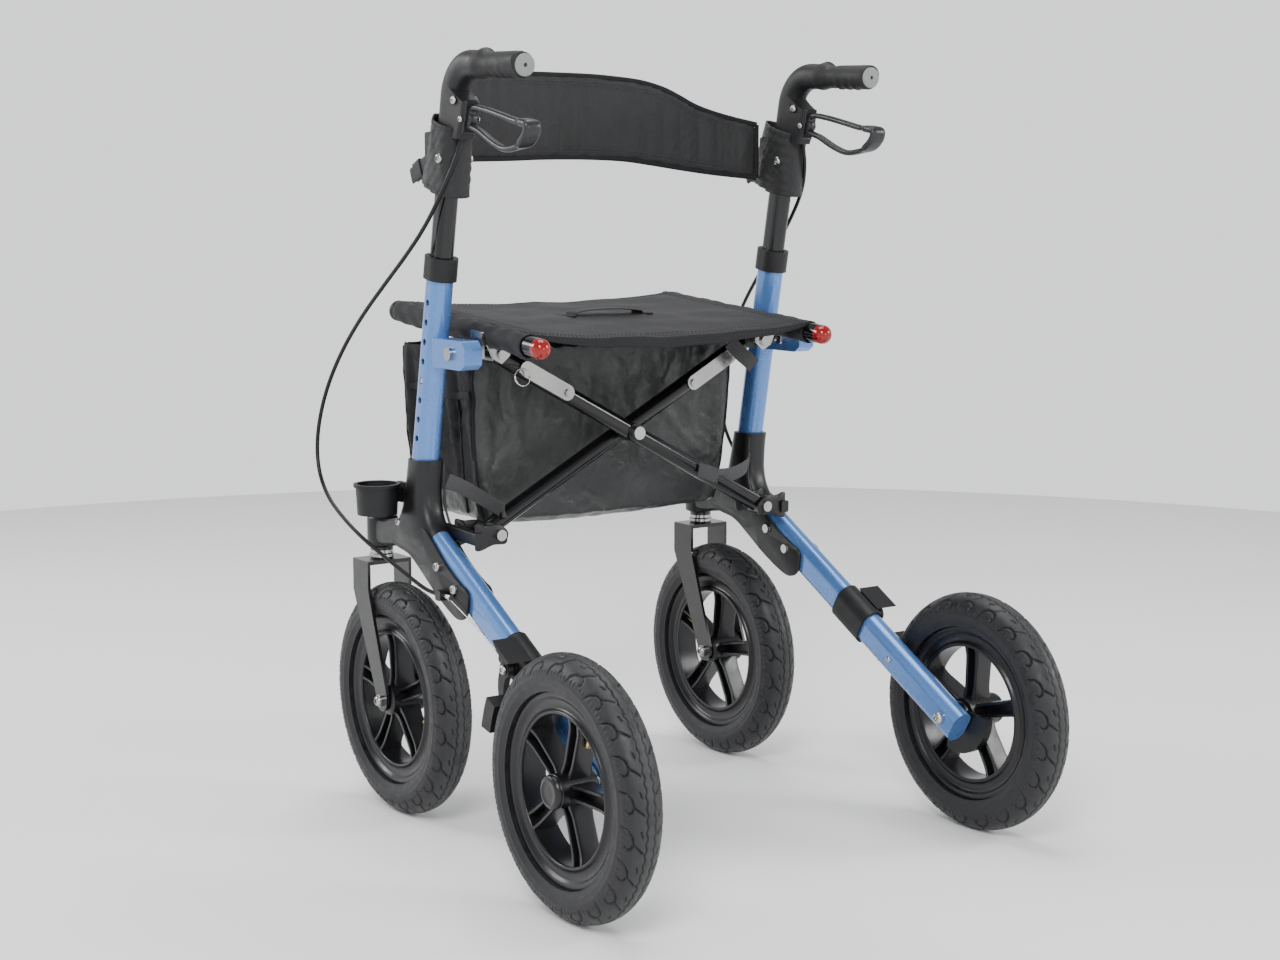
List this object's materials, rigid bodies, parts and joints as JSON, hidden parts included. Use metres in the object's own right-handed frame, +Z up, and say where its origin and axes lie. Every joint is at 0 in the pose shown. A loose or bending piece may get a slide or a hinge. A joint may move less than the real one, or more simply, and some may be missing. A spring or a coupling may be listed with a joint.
{
  "type": "rollator walker",
  "caption": "Folding four-wheeled walking frame with air tyres, cross brace, cloth seat, bag, backrest and loop-lever brakes.",
  "frame": {"origin": "on the floor, midway between the four wheels", "axes": "+X the user's right, +Y the walking direction, +Z up"},
  "size_m": [0.68, 0.7862, 0.9788],
  "materials": {
    "blue_paint": "metallic light blue powder coat, semi-gloss",
    "black_plastic": "fine moulded texture",
    "black_casting": "glass-filled nylon moulding, satin",
    "black_steel": "satin black powder coat",
    "black_tube": "semi-gloss black",
    "zinc": "bright zinc plate",
    "lever_grey": "dark grey satin",
    "grip_rubber": "moulded soft grip",
    "red_cap": "glossy translucent red",
    "cable_sheath": "smooth sheath",
    "tyre": "moulded tread rubber",
    "rim_plastic": "satin nylon",
    "seat_fabric": "black woven nylon",
    "bag_fabric": "black coated nylon",
    "backrest_fabric": "padded black nylon"
  },
  "bodies": {
    "left_frame": {"post_left": "blue_paint", "post_collar_left": "black_plastic", "lower_bracket_left": "black_casting", "rear_leg_left": "blue_paint", "frame_bolts_left": "zinc", "leg_clamp_left": "black_plastic", "rear_axle_left": "zinc", "brake_cable_left": "cable_sheath", "cup_holder": "black_plastic"},
    "rail_left": {"seat_rail_left": "black_tube", "rail_cap_left": "red_cap", "rail_plates_left": "zinc", "seat_cloth": "seat_fabric", "shopping_bag": "bag_fabric"},
    "handle_left": {"handle_tube_left": "black_tube", "handle_elbow_left": "black_plastic", "grip_left": "grip_rubber", "backrest_clamp_left": "black_plastic", "backrest": "backrest_fabric"},
    "button_left": {"snap_button_left": "zinc"},
    "lever_left": {"brake_lever_left": "lever_grey"},
    "shoe_left": {"brake_shoe_left": "black_plastic"},
    "rear_wheel_left": {"rim_rear_left": "rim_plastic", "tyre_rear_left": "tyre"},
    "caster_left": {"caster_fork_left": "black_steel", "caster_axle_left": "zinc"},
    "caster_wheel_left": {"rim_caster_left": "rim_plastic", "tyre_caster_left": "tyre"},
    "right_frame": {"post_right": "blue_paint", "post_collar_right": "black_plastic", "lower_bracket_right": "black_casting", "rear_leg_right": "blue_paint", "frame_bolts_right": "zinc", "leg_clamp_right": "black_plastic", "rear_axle_right": "zinc", "brake_cable_right": "cable_sheath", "kerb_step": "black_casting"},
    "rail_right": {"seat_rail_right": "black_tube", "rail_cap_right": "red_cap", "rail_plates_right": "zinc"},
    "handle_right": {"handle_tube_right": "black_tube", "handle_elbow_right": "black_plastic", "grip_right": "grip_rubber", "backrest_clamp_right": "black_plastic"},
    "button_right": {"snap_button_right": "zinc"},
    "lever_right": {"brake_lever_right": "lever_grey"},
    "shoe_right": {"brake_shoe_right": "black_plastic"},
    "rear_wheel_right": {"rim_rear_right": "rim_plastic", "tyre_rear_right": "tyre"},
    "caster_right": {"caster_fork_right": "black_steel", "caster_axle_right": "zinc"},
    "caster_wheel_right": {"rim_caster_right": "rim_plastic", "tyre_caster_right": "tyre"},
    "cross_a": {"cross_tube_a": "black_tube", "link_plate_a": "zinc"},
    "cross_b": {"cross_tube_b": "black_tube", "link_plate_b": "zinc", "cross_pivot_bolt": "zinc"}
  },
  "joints": [
    {"name": "fold", "type": "hinge", "parent": "left_frame", "child": "cross_b", "pos_m": [-0.21, 0.1137, 0.38598], "axis": [0, -1, 0], "range_deg": [0, 46], "deforming": ["seat_cloth", "shopping_bag", "backrest"]},
    {"name": "cross_scissor", "type": "hinge", "parent": "cross_b", "child": "cross_a", "pos_m": [0, 0.102, 0.5], "axis": [0, 1, 0], "range_deg": [0, 92]},
    {"name": "right_frame_hinge", "type": "hinge", "parent": "cross_a", "child": "right_frame", "pos_m": [0.21, 0.091, 0.38598], "axis": [0, -1, 0], "range_deg": [0, 46]},
    {"name": "rail_left_hinge", "type": "hinge", "parent": "cross_a", "child": "rail_left", "pos_m": [-0.205, 0.091, 0.61131], "axis": [0, -1, 0], "range_deg": [0, 46]},
    {"name": "rail_right_hinge", "type": "hinge", "parent": "cross_b", "child": "rail_right", "pos_m": [0.205, 0.1137, 0.61131], "axis": [0, 1, 0], "range_deg": [0, 46]},
    {"name": "handle_height_left", "type": "slide", "parent": "left_frame", "child": "handle_left", "axis": [0, -0.1857, 0.9826], "range_m": [-0.05, 0.1], "deforming": ["brake_cable_left"]},
    {"name": "button_press_left", "type": "slide", "parent": "handle_left", "child": "button_left", "axis": [1, 0, 0], "range_m": [0, 0.004], "stiffness_N_per_m": 400, "springref_m": -0.002},
    {"name": "brake_squeeze_left", "type": "hinge", "parent": "handle_left", "child": "lever_left", "pos_m": [-0.2593, 0.052, 0.896], "axis": [-1, 0, 0], "range_deg": [0, 12], "stiffness_Nm_per_rad": 0.6, "springref_deg": -17.19},
    {"name": "shoe_press_left", "type": "hinge", "parent": "left_frame", "child": "shoe_left", "pos_m": [-0.2875, -0.06725, 0.25227], "axis": [-1, 0, 0], "range_deg": [0, 2.4]},
    {"name": "rear_wheel_spin_left", "type": "hinge", "parent": "left_frame", "child": "rear_wheel_left", "pos_m": [-0.306, -0.2406, 0.1525], "axis": [1, 0, 0], "continuous": true},
    {"name": "caster_swivel_left", "type": "hinge", "parent": "left_frame", "child": "caster_left", "pos_m": [-0.261, 0.2936, 0.36], "axis": [0, 0, 1], "continuous": true},
    {"name": "caster_wheel_spin_left", "type": "hinge", "parent": "caster_left", "child": "caster_wheel_left", "pos_m": [-0.261, 0.2406, 0.1525], "axis": [1, 0, 0], "continuous": true},
    {"name": "handle_height_right", "type": "slide", "parent": "right_frame", "child": "handle_right", "axis": [0, -0.1857, 0.9826], "range_m": [-0.05, 0.1], "deforming": ["brake_cable_right"]},
    {"name": "button_press_right", "type": "slide", "parent": "handle_right", "child": "button_right", "axis": [-1, 0, 0], "range_m": [0, 0.004], "stiffness_N_per_m": 400, "springref_m": -0.002},
    {"name": "brake_squeeze_right", "type": "hinge", "parent": "handle_right", "child": "lever_right", "pos_m": [0.2593, 0.052, 0.896], "axis": [-1, 0, 0], "range_deg": [0, 12], "stiffness_Nm_per_rad": 0.6, "springref_deg": -17.19},
    {"name": "shoe_press_right", "type": "hinge", "parent": "right_frame", "child": "shoe_right", "pos_m": [0.2875, -0.06725, 0.25227], "axis": [-1, 0, 0], "range_deg": [0, 2.4]},
    {"name": "rear_wheel_spin_right", "type": "hinge", "parent": "right_frame", "child": "rear_wheel_right", "pos_m": [0.306, -0.2406, 0.1525], "axis": [1, 0, 0], "continuous": true},
    {"name": "caster_swivel_right", "type": "hinge", "parent": "right_frame", "child": "caster_right", "pos_m": [0.261, 0.2936, 0.36], "axis": [0, 0, 1], "continuous": true},
    {"name": "caster_wheel_spin_right", "type": "hinge", "parent": "caster_right", "child": "caster_wheel_right", "pos_m": [0.261, 0.2406, 0.1525], "axis": [1, 0, 0], "continuous": true}
  ],
  "couplings": [
    {"joint": "cross_scissor", "follows": "fold", "ratio": 2},
    {"joint": "right_frame_hinge", "follows": "fold", "ratio": 1},
    {"joint": "rail_left_hinge", "follows": "fold", "ratio": 1},
    {"joint": "rail_right_hinge", "follows": "fold", "ratio": 1},
    {"joint": "handle_height_right", "follows": "handle_height_left", "ratio": 1},
    {"joint": "shoe_press_left", "follows": "brake_squeeze_left", "ratio": 0.2},
    {"joint": "shoe_press_right", "follows": "brake_squeeze_right", "ratio": 0.2}
  ]
}
